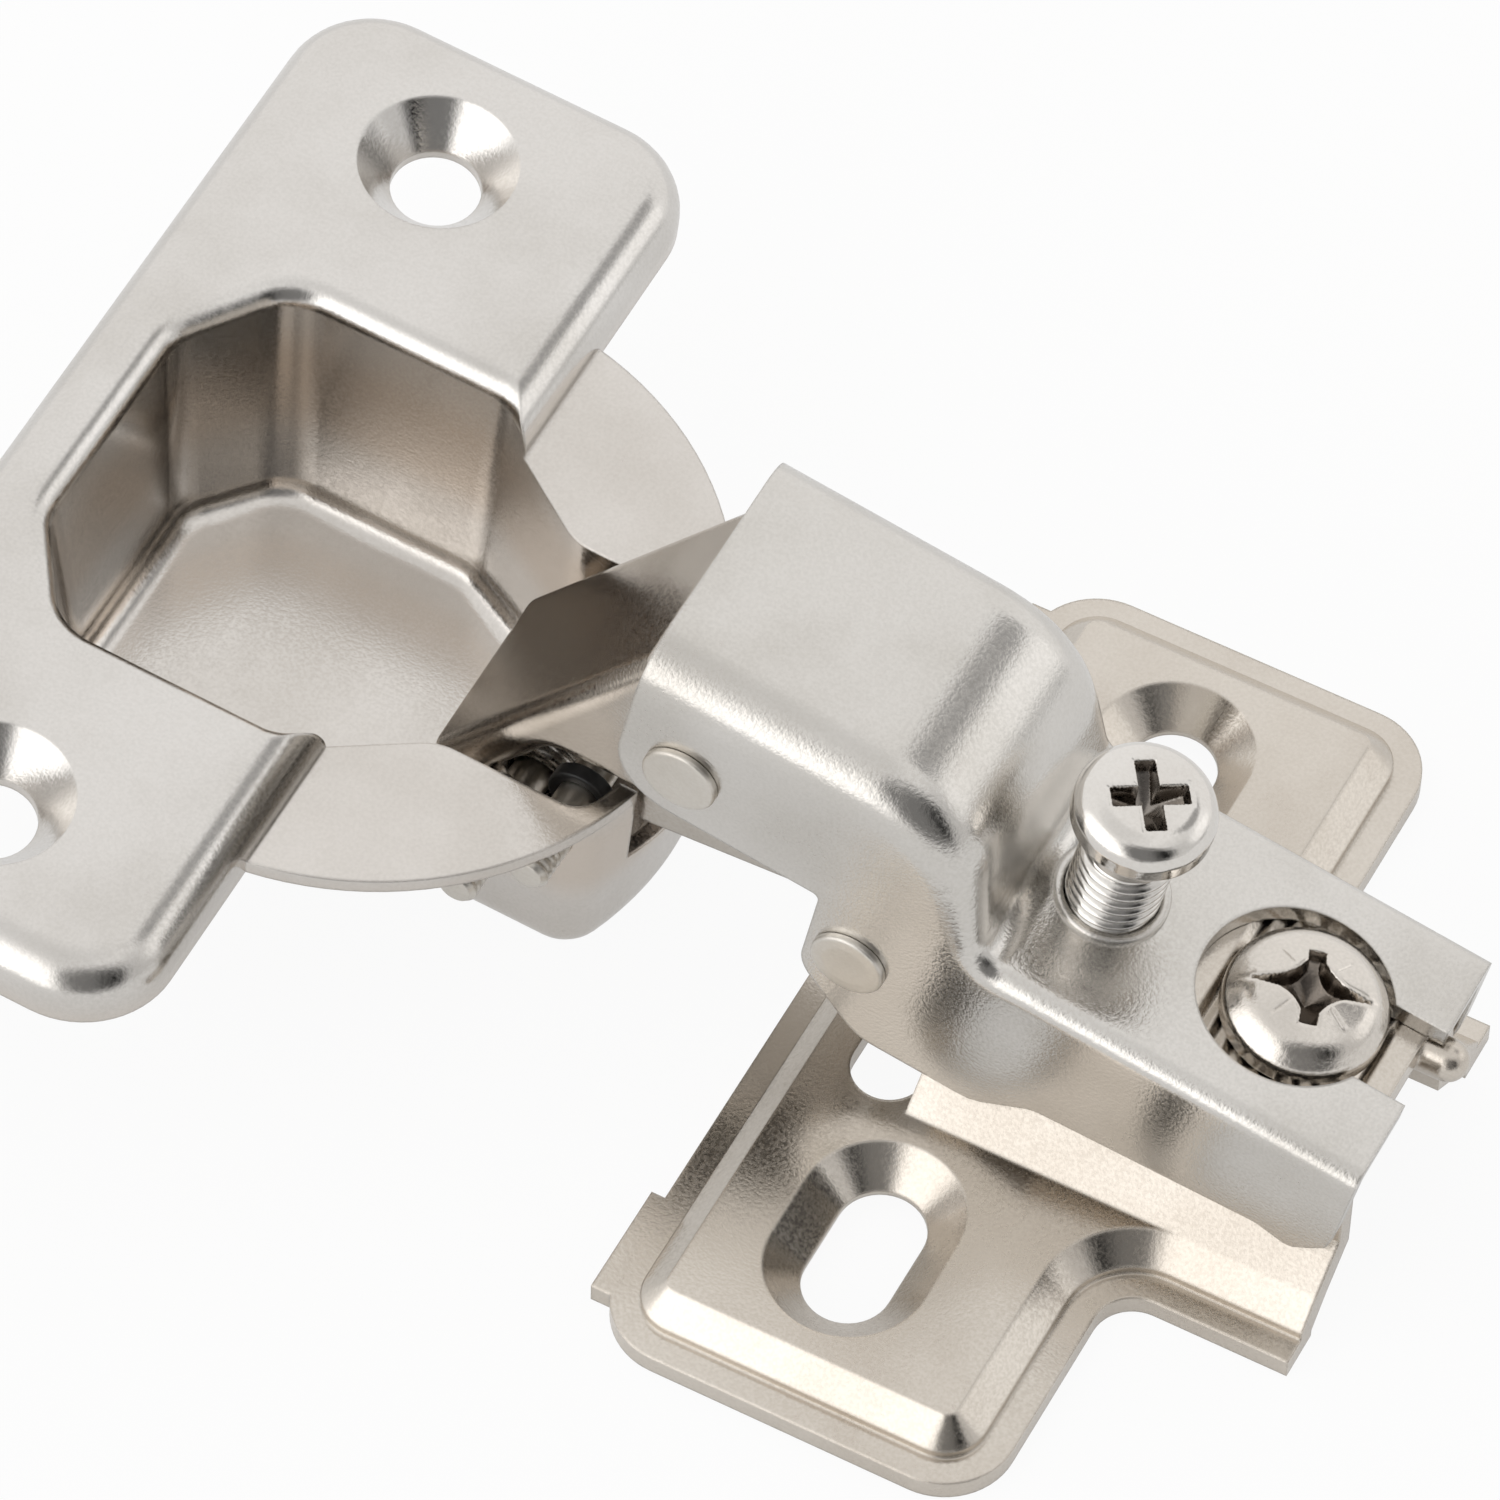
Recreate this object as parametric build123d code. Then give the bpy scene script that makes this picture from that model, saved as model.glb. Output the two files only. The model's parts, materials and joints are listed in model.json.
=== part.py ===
from build123d import *
import os
from math import cos, hypot, radians, sin

os.makedirs("parts", exist_ok=True)

# A concealed cup hinge for a 35 mm bore, shown open, with a slide-on arm on a winged plate.
# The origin is midway between the plate's two screw slots, on its back face.
# +X runs to the rear of the arm, +Y along the wings, +Z away from the cabinet wall.
# Sizes are in millimetres.

# Clearances
turning_gap = 0.05
sliding_gap = 0.05
side_gap = 0.3

# Mounting plate
plate_sheet = 1.2
plate_screw_pitch = 32.0
wing_span = 52.2
wing_front = 10.3
wing_rear = 11.5
wing_corner = 3.8
plate_rise = 3.1
plate_lip = 1.5
plate_slope = 1.4
tongue_half_width = 11.4
plate_slot_half_width = 2.3
plate_slot_straight = 3.6
plate_sink_half_width = 4.2
plate_sink_depth = 2.0
window_length = 16.8
window_width = 3.9
front_tab_length = 6.3
front_tab_reach = 0.75
front_tab_inset = 2.3

# Rail that the arm slides on
rail_front = -1.7
rail_rear = 21.0
rail_flare = 2.3
rail_flare_height = 1.8
rail_edge = 1.2
ridge_pitch = 1.0
ridge_depth = 0.3
ridge_count = 9
lug_radius = 1.1
lug_reach = 2.3
lug_side = 2.6

# Arm, in a frame of its own that lies on the rear plateau and is pitched nose up
arm_pitch = 10.0
arm_origin_x = 4.8
arm_origin_z = 15.87
arm_sheet = 1.2
arm_half_width = 7.7
arm_front = -24.0
arm_rear = 17.6
arm_step = 9.5
arm_step_top = -9.2
arm_step_foot = -3.8
arm_step_radius = 3.0
arm_foot_radius = 1.5
arm_edge_front = 2.5
arm_edge_rear = 1.1
arm_recess_x = 10.3
arm_recess_radius = 5.0
arm_slot_half_width = 2.4
arm_wall_depth = 8.2
arm_lobe_depth = 10.9
slide_travel = 1.0

# Pivots in the arm frame
front_pivot_x = -20.5
front_pivot_z = 2.4
rear_pivot_x = -9.6
rear_pivot_z = -4.9
rivet_radius = 1.6
rivet_head_radius = 2.0
rivet_head_height = 0.45
front_nose_radius = 3.5
rear_lobe_radius = 2.5

# Adjusting screw and its collar
adjust_radius = 2.45
adjust_head_radius = 3.6
adjust_head_height = 2.1
adjust_top = 9.5
adjust_tip = -3.0
collar_wall = 0.45
collar_rise = 0.35
collar_drop = 0.9

# Fixing screw
fixing_x = 10.9
fixing_radius = 2.9
fixing_head_radius = 4.2
fixing_head_height = 3.0
fixing_dome = 1.1
fixing_length = 7.0
cross_half_length = 2.1
cross_width = 1.0
cross_depth = 1.3

# Cup, in a frame whose origin is midway between its two screw holes on the flange's top
cup_pitch = 4.4
cup_origin_x = -45.08
cup_origin_z = 18.26
cup_sheet = 0.9
cup_screw_pitch = 45.0
cup_hole_radius = 2.35
cup_sink_radius = 4.2
cup_sink_depth = 2.3
cup_sink_neck = 0.5
flange_half_length = 30.5
flange_front = 10.3
flange_rear = 11.9
flange_corner = 5.0
flange_edge = 2.4
flange_height = 3.3
cup_bore_offset = 9.5
cup_body_radius = 17.4
cup_depth = 11.7
lobe_offset = 8.45
lobe_radius = 18.45
mouth_front = 6.2
mouth_half_width = 11.9
mouth_flat = 6.4
mouth_chamfer = 3.7
mouth_rear = 9.9
mouth_front_corner = 3.0
mouth_side_corner = 3.5
mouth_rear_corner = 2.5
channel_corner = 3.0
channel_half_width = 7.1
channel_front = 16.5
draft_front = 1.6
draft_side = 2.0
draft_channel = 0.4
rim_radius = 1.3
floor_radius = 2.2
bowl_top = 0.6
gate_half_width = 4.5
gate_side_depth = 8.3
gate_depth = 9.9
corner_radius = 2.5

# Cup pins, in the cup frame
outer_pin_z = -8.9
pin_spacing_x = 3.7
inner_pin_z = -4.7
pin_radius = 1.1
pin_overhang = 2.4
pin_bend = 1.5

# Links
link_sheet = 1.2
outer_link_half_width = 5.8
outer_link_rise = 5.3
outer_link_edge = 1.2
outer_link_nose = 2.2
outer_link_tail = 0.1
outer_eye_radius = 2.2
outer_link_neck = 8.0
outer_link_belly = 11.5
outer_link_flange = 2.6
inner_link_half_width = 3.9
inner_link_thickness = 2.4
inner_eye_radius = 2.6
open_pivot_play = 2.0

# Closing spring and the washers on the inner pin
spring_wire = 1.1
spring_turns = 6
spring_gap = 0.15
washer_radius = 1.7
washer_thickness = 0.9
washer_wall_gap = 0.9

# Places of the two pins behind the cup's arm-side wall
inner_pin_x = cup_bore_offset + cup_body_radius - cup_sheet - washer_wall_gap - washer_radius
outer_pin_x = inner_pin_x - pin_spacing_x

# Frames of the arm and of the cup, with their local Z in the picture plane of the hinge
arm_frame = Plane(origin=(arm_origin_x, 0, arm_origin_z),
                  x_dir=(cos(radians(arm_pitch)), 0, -sin(radians(arm_pitch))), z_dir=(0, -1, 0))
cup_frame = Plane(origin=(cup_origin_x, 0, cup_origin_z),
                  x_dir=(cos(radians(cup_pitch)), 0, -sin(radians(cup_pitch))), z_dir=(0, -1, 0))
arm_top = Plane(origin=(arm_origin_x, 0, arm_origin_z), x_dir=arm_frame.x_dir, z_dir=arm_frame.y_dir)
cup_top = Plane(origin=(cup_origin_x, 0, cup_origin_z), x_dir=cup_frame.x_dir, z_dir=cup_frame.y_dir)


def place(frame, x, z):
    """Point of the hinge at x, z of a side-view frame, on the middle plane."""
    return frame.from_local_coords(Vector(x, z, 0))


def slab(frame, outline, half_width, centre=0.0):
    """Prism of a side-view outline, half_width to each side of y = centre."""
    solid = extrude(frame * outline, half_width, both=True)
    return Pos(0, centre, 0) * solid


def side_cylinder(frame, x, z, radius, y_low, y_high):
    """Cylinder across the hinge, at x, z of a side-view frame."""
    where = place(frame, x, z)
    return Pos(where.X, (y_low + y_high) / 2, where.Z) * Rot(90, 0, 0) * Cylinder(radius, y_high - y_low)


def rounded_polygon(corners):
    """Face with straight sides whose corners, given as (x, y, radius), are rounded where radius > 0."""
    face = make_face(Polyline(*[(x, y) for x, y, r in corners], close=True))
    for x, y, r in corners:
        if r > 0:
            corner = min(face.vertices(), key=lambda v: hypot(v.X - x, v.Y - y))
            face = fillet(corner, r)
    return face


def mirrored(corners):
    """Corners of a half outline with y >= 0, followed by their mirror images."""
    return corners + [(x, -y, r) for x, y, r in reversed(corners)]


def oblong(half_width, straight):
    """Slot outline along local Y."""
    return Rot(0, 0, 90) * SlotCenterToCenter(straight, 2 * half_width)


# Mounting plate: wings and tongue with a low lip, a raised plateau and the rail, all from one sheet
half_span = wing_span / 2


def plate_outline(inset, corner):
    """Half of the plate's outline as seen from above, drawn in by inset."""
    return mirrored([
        (-wing_front + inset, half_span - inset, corner),
        (wing_rear - inset, half_span - inset, corner),
        (wing_rear - inset, tongue_half_width - inset, 2.2 + inset),
        (rail_rear, tongue_half_width - inset, 0),
    ])


def arm_underside(x):
    """Height of the plane under the arm's rear plateau at x."""
    along = (x - arm_origin_x) / cos(radians(arm_pitch))
    drop = (arm_sheet + sliding_gap) / cos(radians(arm_pitch))
    return arm_origin_z - along * sin(radians(arm_pitch)) - drop


def rail_section(top, half_width, flare, z_base, z_knee, z_low):
    """Section of the rail across the hinge: flared feet, upright walls and a flat roof."""
    return Polyline((-half_width - flare, z_low), (-half_width - flare, z_base), (-half_width, z_knee),
                    (-half_width, top), (half_width, top), (half_width, z_knee),
                    (half_width + flare, z_base), (half_width + flare, z_low), close=True)


rail_half_width = arm_half_width - arm_sheet - side_gap


def rail_block(shrink, z_low, x_front, x_rear):
    """Solid of the rail's outer form, or of its hollow when shrink is the sheet."""
    section = make_face(rail_section(
        2 * arm_origin_z, rail_half_width - shrink, rail_flare, plate_rise - shrink,
        plate_rise - shrink + rail_flare_height, z_low))
    block = Pos(x_front, 0, 0) * extrude(Plane.YZ * section, x_rear - x_front)
    roof = make_face(Polyline(
        (x_front - 1, arm_underside(x_front - 1) - shrink), (x_rear + 1, arm_underside(x_rear + 1) - shrink),
        (x_rear + 1, 3 * arm_origin_z), (x_front - 1, 3 * arm_origin_z), close=True))
    block -= extrude(Plane.XZ * roof, 3 * rail_half_width, both=True)
    top = block.faces().sort_by(Axis.Z)[-1]
    long_edges = [e for e in top.edges() if abs(e.center().Y) > rail_half_width - shrink - 0.01]
    return fillet(long_edges, max(rail_edge - shrink, 0.3))


def plateau_block(shrink, z_low):
    """Raised middle of the plate with sloping sides, or its hollow when shrink is the sheet."""
    foot = plate_lip + shrink
    low = plate_rise - plate_slope
    base = rounded_polygon(plate_outline(foot, max(wing_corner - foot, 0.6)))
    crest = rounded_polygon(plate_outline(foot + plate_slope, 0.6))
    body = extrude(Pos(0, 0, z_low) * base, low - shrink - z_low)
    return body + loft([Pos(0, 0, low - shrink) * base, Pos(0, 0, plate_rise - shrink) * crest], ruled=True)


plate = extrude(rounded_polygon(plate_outline(0, wing_corner)), plate_sheet)
plate += plateau_block(0, 0)
plate += rail_block(0, 0, rail_front, rail_rear)
plate -= plateau_block(plate_sheet, -1)
plate -= rail_block(plate_sheet, -1, rail_front - 1, rail_rear + 1)
for side in (-1, 1):
    slot_centre = Pos(0, side * plate_screw_pitch / 2, 0)
    floor_z = plate_rise - plate_sink_depth
    sink_slope = (plate_sink_half_width - plate_slot_half_width) / plate_sink_depth
    wall = oblong(plate_sink_half_width + 0.6, plate_slot_straight)
    wall_foot = oblong(plate_slot_half_width + 0.6, plate_slot_straight)
    plate += slot_centre * loft([Pos(0, 0, plate_rise - 0.4) * wall, Pos(0, 0, floor_z) * wall_foot], ruled=True)
    plate -= slot_centre * loft([Pos(0, 0, plate_rise) * oblong(plate_sink_half_width, plate_slot_straight),
                                 Pos(0, 0, floor_z + 0.3) * oblong(plate_slot_half_width, plate_slot_straight)],
                                ruled=True)
    plate -= slot_centre * extrude(Pos(0, 0, -1) * oblong(plate_slot_half_width, plate_slot_straight), 5)
    tab_y = side * (half_span - front_tab_inset - front_tab_length / 2)
    plate += Pos(-wing_front, tab_y, plate_sheet / 2) * Box(2 * front_tab_reach, front_tab_length, plate_sheet)
window_x = rail_front - window_width / 2
plate -= Pos(window_x, 0, plate_rise) * extrude(oblong(window_width / 2, window_length - window_width), 6, both=True)

# The rail's open slot takes the tip of the adjusting screw, and its ridges grip the arm
rail_slot_half_width = adjust_radius + turning_gap + collar_wall + side_gap
rail_slot_rear = arm_origin_x + slide_travel
rail_slot = Pos((rail_slot_rear + rail_front) / 2, 0, 0) * Box(
    rail_slot_rear - rail_front, 2 * rail_slot_half_width, 60)
rail_slot += Pos(rail_slot_rear, 0, 0) * Cylinder(rail_slot_half_width, 60)
upper_space = Pos(0, 0, plate_rise + 30 + rail_flare_height) * Box(100, 100, 60)
plate -= rail_slot & upper_space
rail_roof = -arm_sheet - sliding_gap
for number in range(ridge_count):
    groove_x = fixing_x + (number - (ridge_count - 1) / 2) * ridge_pitch
    groove = make_face(Polyline((groove_x - ridge_pitch / 2, rail_roof + 0.01), (groove_x, rail_roof - ridge_depth),
                                (groove_x + ridge_pitch / 2, rail_roof + 0.01), close=True))
    plate -= slab(arm_frame, groove, rail_half_width - rail_edge)
fixing_bore = arm_top * Pos(fixing_x, 0, 0) * Cylinder(fixing_radius, 12)
plate -= fixing_bore
lug_z = arm_underside(rail_rear) - lug_radius - 0.3
lug = Pos(rail_rear + lug_reach - lug_radius, lug_side, lug_z) * Sphere(lug_radius)
lug += Pos(rail_rear + (lug_reach - lug_radius) / 2 - plate_sheet / 2, lug_side, lug_z) * Rot(0, 90, 0) * Cylinder(
    lug_radius, lug_reach - lug_radius + plate_sheet)
plate += lug

# Arm: a cranked channel with pivot lobes, open in front, behind and below
arm_outline = rounded_polygon([
    (arm_front, arm_step, 0),
    (arm_step_top, arm_step, arm_step_radius),
    (arm_step_foot, 0, arm_foot_radius),
    (arm_rear, 0, 0),
    (arm_rear, -arm_wall_depth + 1.7, 1.0),
    (arm_rear - 1.8, -arm_wall_depth, 1.0),
    (arm_rear - 3.8, -arm_wall_depth + 0.5, 1.5),
    (1.5, -arm_wall_depth - 0.6, 2.0),
    (-1.5, -arm_lobe_depth, 2.0),
    (rear_pivot_x + 1.6, -arm_lobe_depth, 2.5),
    (rear_pivot_x - rear_lobe_radius + 0.2, rear_pivot_z - 2.4, 2.5),
    (rear_pivot_x - rear_lobe_radius, front_pivot_z - front_nose_radius, 0.4),
    (arm_front + 0.02, front_pivot_z - front_nose_radius, front_nose_radius - 0.05),
])


def long_edges(solid, half_width, x_front, x_rear, z_low):
    """Edges along the upper sides of a channel, between two stations and above z_low."""
    found = []
    for edge in solid.edges():
        at = arm_frame.to_local_coords(edge.center())
        if abs(abs(at.Z) - half_width) < 0.01 and x_front < at.X < x_rear and at.Y > z_low - 0.05:
            found.append(edge)
    return found


rear_half = slab(arm_frame, Pos(arm_step_foot + arm_foot_radius + 50, 0, 0) * Rectangle(100, 100), arm_half_width)
arm = slab(arm_frame, arm_outline, arm_half_width)
arm_back = arm & rear_half
arm = fillet(long_edges(arm, arm_half_width, arm_front + 0.5, arm_rear - 0.5, 0), arm_edge_front)
arm += fillet(long_edges(arm_back, arm_half_width, arm_step_foot, arm_rear - 0.5, 0), arm_edge_rear)
slope_run = arm_step_foot - arm_step_top
slope_length = hypot(slope_run, arm_step)
inner_shift = arm_sheet * (slope_run - slope_length) / arm_step
hollow_outline = rounded_polygon([
    (arm_front - 5, arm_step - arm_sheet, 0),
    (arm_step_top + inner_shift, arm_step - arm_sheet, arm_step_radius),
    (arm_step_foot + inner_shift, -arm_sheet, arm_foot_radius),
    (arm_rear + 5, -arm_sheet, 0),
    (arm_rear + 5, -30, 0),
    (arm_front - 5, -30, 0),
])
hollow = slab(arm_frame, hollow_outline, arm_half_width - arm_sheet)
hollow_edges = long_edges(hollow, arm_half_width - arm_sheet, arm_front - 4, arm_rear + 4, -arm_sheet)
arm -= fillet(hollow_edges, arm_edge_front - arm_sheet)
arm += arm_top * Pos(0, 0, (collar_rise - arm_sheet - collar_drop) / 2) * Cylinder(
    adjust_radius + turning_gap + collar_wall, collar_rise + arm_sheet + collar_drop)
arm -= arm_top * Cylinder(adjust_radius + turning_gap, 12)
arm -= arm_top * Pos(arm_recess_x, 0, 0) * Cylinder(arm_recess_radius, 4)
arm -= arm_top * Pos((arm_recess_x + arm_rear + 1) / 2, 0, 0) * Box(
    arm_rear + 1 - arm_recess_x, 2 * arm_slot_half_width, 4)
for x, z in ((front_pivot_x, front_pivot_z), (rear_pivot_x, rear_pivot_z)):
    arm -= side_cylinder(arm_frame, x, z, rivet_radius, -arm_half_width - 1, arm_half_width + 1)


def rivet(x, z):
    """Rivet across the arm with a low head formed at each end."""
    reach = arm_half_width + rivet_head_height
    body = side_cylinder(arm_frame, x, z, rivet_radius, -reach, reach)
    for low in (-reach, arm_half_width):
        body += side_cylinder(arm_frame, x, z, rivet_head_radius, low, low + rivet_head_height)
    return body


front_rivet = rivet(front_pivot_x, front_pivot_z)
rear_rivet = rivet(rear_pivot_x, rear_pivot_z)


def cross_recess(top):
    """Cross recess cut down from a screw head's top."""
    bar = Box(2 * cross_half_length, cross_width, 2 * cross_depth)
    return Pos(0, 0, top) * (bar + Rot(0, 0, 90) * bar)


# Screws, made upright about their own axes and set square to the arm
adjusting = Pos(0, 0, (adjust_top + adjust_tip) / 2) * Cylinder(adjust_radius, adjust_top - adjust_tip)
adjusting += Pos(0, 0, adjust_top - adjust_head_height / 2) * Cylinder(adjust_head_radius, adjust_head_height)
adjusting = chamfer(adjusting.edges().group_by(Axis.Z)[-1], 0.4)
adjusting -= cross_recess(adjust_top)
adjusting = arm_top * adjusting

head_foot = rail_roof
fixing = Pos(0, 0, head_foot - fixing_length / 2) * Cylinder(fixing_radius - turning_gap, fixing_length)
fixing_head = Pos(0, 0, head_foot + fixing_head_height / 2) * Cylinder(fixing_head_radius, fixing_head_height)
fixing += fillet(fixing_head.edges().group_by(Axis.Z)[-1], fixing_dome)
fixing -= cross_recess(head_foot + fixing_head_height)
fixing = arm_top * Pos(fixing_x, 0, 0) * fixing

# Cup: a raised flange with rolled edges, two low lobes and a drafted bowl, all from one sheet


floor_height = -flange_height - cup_depth + cup_sheet


def bowl_outline(grow, depth):
    """Bowl as seen into its mouth, grown by grow, at a depth share from 0 at the rim to 1 at the floor."""
    front = mouth_front - depth * draft_front + grow
    side = mouth_half_width - depth * draft_side + grow
    channel = channel_half_width - depth * draft_channel + grow
    return mirrored([
        (-front, mouth_flat - depth * draft_side / 2, mouth_front_corner + grow),
        (-front + mouth_chamfer, side, mouth_side_corner + grow),
        (mouth_rear + grow * 0.4, side, mouth_rear_corner),
        (channel_front + 0.6 * grow, channel, channel_corner),
        (cup_bore_offset + cup_body_radius + 5, channel, 0),
    ])


def bowl_block(grow, z_high, z_low):
    """Drafted solid of the bowl between two heights, round on the arm side."""
    high = rounded_polygon(bowl_outline(grow, z_high / floor_height))
    low = rounded_polygon(bowl_outline(grow, z_low / floor_height))
    block = loft([Pos(0, 0, z_low) * low, Pos(0, 0, z_high) * high], ruled=True)
    front_half = Pos(cup_bore_offset - cup_body_radius, 0, 0) * Box(2 * cup_body_radius, 60, 60)
    block &= front_half + Pos(cup_bore_offset, 0, 0) * Cylinder(cup_body_radius - cup_sheet + grow, 60)
    corners = [e for e in block.edges() if e.center().X > lobe_offset + 12 and abs(e.center().Y) > gate_half_width
               and abs(e.tangent_at(0.5).Z) > 0.9]
    return fillet(corners, corner_radius - cup_sheet + grow)


flange_centre = (flange_rear - flange_front) / 2
flange_width = flange_rear + flange_front
flange = extrude(Pos(flange_centre, 0, -flange_height) * RectangleRounded(
    flange_width, 2 * flange_half_length, flange_corner), flange_height)
flange = fillet(flange.faces().sort_by(Axis.Z)[-1].edges(), flange_edge)
tray = extrude(Pos(flange_centre, 0, -flange_height - 1) * RectangleRounded(
    flange_width - 2 * cup_sheet, 2 * (flange_half_length - cup_sheet), flange_corner - cup_sheet),
    flange_height + 1 - cup_sheet)
tray = fillet(tray.faces().sort_by(Axis.Z)[-1].edges(), flange_edge - cup_sheet)
cup = flange - tray
lobes = Pos(lobe_offset, 0, -flange_height + cup_sheet / 2) * Cylinder(lobe_radius, cup_sheet)
lobes -= Pos(flange_rear - 1.0 - 50, 0, -flange_height) * Box(100, 100, 10)
cup += lobes
for side in (-1, 1):
    hole_centre = Pos(0, side * cup_screw_pitch / 2, 0)
    cup += hole_centre * Pos(0, 0, -cup_sink_depth / 2 - 0.3) * Cone(
        cup_hole_radius + 0.7, cup_sink_radius + 0.4, cup_sink_depth - 0.6)
    cup += hole_centre * Pos(0, 0, -cup_sink_depth - cup_sink_neck / 2) * Cylinder(
        cup_hole_radius + 0.7, cup_sink_neck)
    cup -= hole_centre * Pos(0, 0, -cup_sink_depth / 2) * Cone(cup_hole_radius, cup_sink_radius, cup_sink_depth)
    cup -= hole_centre * Cylinder(cup_hole_radius, 20)
bowl = bowl_block(cup_sheet, -bowl_top, floor_height - cup_sheet)
bowl = fillet(bowl.faces().sort_by(Axis.Z)[0].edges(), floor_radius)
bowl -= Pos(flange_rear - cup_sheet + 50, 0, 0) * Box(100, 100, 2 * flange_height)
cup += bowl
well = bowl_block(0, 0, floor_height)
well = fillet(well.faces().sort_by(Axis.Z)[0].edges(), floor_radius - cup_sheet)
well += Pos(mouth_rear, 0, 2) * Box(60, 50, 4)
rim_edges = [e for e in well.edges() if abs(e.center().Z) < 0.01 and abs(e.center().Y) < mouth_half_width + 1
             and abs(e.center().X - mouth_rear) < 29]
cup -= fillet(rim_edges, rim_radius)

# Arm side: the inner link passes through a gate in the wall
gate = make_face(Polyline((-gate_half_width, 1), (-gate_half_width, -gate_side_depth), (0, -gate_depth),
                          (gate_half_width, -gate_side_depth), (gate_half_width, 1), close=True))
cup -= Pos(cup_bore_offset + cup_body_radius, 0, 0) * extrude(Plane.YZ * gate, 3, both=True)
wall_outer = channel_half_width + cup_sheet
pin_places = ((outer_pin_x, outer_pin_z), (inner_pin_x, inner_pin_z))
for x, z in pin_places:
    cup -= Pos(x, 0, z) * Rot(90, 0, 0) * Cylinder(pin_radius, 4 * wall_outer)
cup = cup_top * cup

# U-shaped pin: both legs cross the cup, and the bend joins them outside the far wall
leg_end = -wall_outer - pin_overhang
bend_y = wall_outer + pin_radius + 0.2
leg_a = cup_top.from_local_coords(Vector(outer_pin_x, 0, outer_pin_z))
leg_b = cup_top.from_local_coords(Vector(inner_pin_x, 0, inner_pin_z))
pin_path = FilletPolyline((leg_a.X, leg_end, leg_a.Z), (leg_a.X, bend_y, leg_a.Z), (leg_b.X, bend_y, leg_b.Z),
                          (leg_b.X, leg_end, leg_b.Z), radius=pin_bend)
pin_section = Plane(origin=(leg_a.X, leg_end, leg_a.Z), z_dir=(0, 1, 0)) * Circle(pin_radius)
cup_pin = sweep(pin_section, path=pin_path)

# Outer link: a channel whose web is turned to the cup's mouth and whose cheeks carry two eyes
pivot_a = place(arm_frame, front_pivot_x, front_pivot_z)
outer_span = (leg_a - pivot_a).length
outer_frame = Plane(origin=(pivot_a.X, 0, pivot_a.Z), x_dir=(leg_a - pivot_a).normalized(), z_dir=(0, 1, 0))
cheek_outline = rounded_polygon([
    (-outer_link_nose, outer_link_rise, 1.2),
    (outer_span + outer_link_tail, outer_link_rise, 0.8),
    (outer_span + outer_eye_radius, 0.5, 1.0),
    (outer_span + outer_eye_radius, -outer_eye_radius, outer_eye_radius - 0.05),
    (outer_span - outer_eye_radius, -outer_eye_radius, outer_eye_radius - 0.05),
    (outer_span - outer_eye_radius, outer_link_rise - outer_link_flange, 1.0),
    (outer_span - outer_link_neck, outer_link_rise - outer_link_flange, 1.5),
    (outer_span - outer_link_belly, -outer_link_nose - 0.2, 2.0),
    (-outer_link_nose, -outer_link_nose - 0.2, outer_link_nose),
    (-2.9, 0.5, 1.5),
])
outer_link = slab(outer_frame, cheek_outline, outer_link_half_width)
web_edges = [e for e in outer_link.edges()
             if abs(abs(e.center().Y) - outer_link_half_width) < 0.01
             and abs(outer_frame.to_local_coords(e.center()).Y - outer_link_rise) < 0.01]
outer_link = fillet(web_edges, outer_link_edge)
link_hollow = Pos(0, outer_link_rise - link_sheet - outer_span, 0) * Rectangle(4 * outer_span, 2 * outer_span)
outer_link -= slab(outer_frame, link_hollow, outer_link_half_width - link_sheet)
outer_link -= side_cylinder(outer_frame, 0, 0, rivet_radius + turning_gap, -arm_half_width, arm_half_width)
outer_link -= side_cylinder(outer_frame, outer_span, 0, pin_radius + turning_gap, -arm_half_width, arm_half_width)

# Inner link: a narrow bar with a wide eye on the rear rivet and an open hook at the inner pin
pivot_b = place(arm_frame, rear_pivot_x, rear_pivot_z)
inner_span = (leg_b - pivot_b).length
inner_frame = Plane(origin=(pivot_b.X, 0, pivot_b.Z), x_dir=(leg_b - pivot_b).normalized(), z_dir=(0, 1, 0))
bar = Pos(inner_span / 2, 0, 0) * Rectangle(inner_span, inner_link_thickness)
inner_link = slab(inner_frame, bar, inner_link_half_width)
inner_link += side_cylinder(inner_frame, 0, 0, inner_eye_radius, -arm_half_width + arm_sheet + side_gap,
                            arm_half_width - arm_sheet - side_gap)
inner_link -= side_cylinder(inner_frame, 0, 0, rivet_radius + turning_gap, -arm_half_width, arm_half_width)
inner_link -= side_cylinder(inner_frame, inner_span, 0, pin_radius + open_pivot_play, -arm_half_width, arm_half_width)

# Closing spring round the outer pin, between the outer link's cheeks, with its turns touching
coil_inner = pin_radius + spring_gap
coil_outer = coil_inner + spring_wire
coil_half = spring_turns * spring_wire / 2
coil_profile = [(coil_inner, -coil_half)]
for turn in range(spring_turns):
    start = turn * spring_wire - coil_half
    coil_profile += [(coil_outer - 0.3 * spring_wire, start), (coil_outer, start + 0.3 * spring_wire),
                     (coil_outer, start + 0.7 * spring_wire)]
coil_profile += [(coil_outer - 0.3 * spring_wire, coil_half), (coil_inner, coil_half)]
closing_spring = Pos(leg_a.X, 0, leg_a.Z) * revolve(make_face(Polyline(*coil_profile, close=True)), Axis.Y)

# Nylon washers on the inner pin, one on each side of the inner link
washer_middle = inner_link_half_width + side_gap / 2 + washer_thickness / 2
washers = {}
for name, side in (("near", -1), ("far", 1)):
    ring = Cylinder(washer_radius, washer_thickness) - Cylinder(pin_radius, 3 * washer_thickness)
    washers[name] = Pos(leg_b.X, side * washer_middle, leg_b.Z) * Rot(90, 0, 0) * ring

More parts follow.
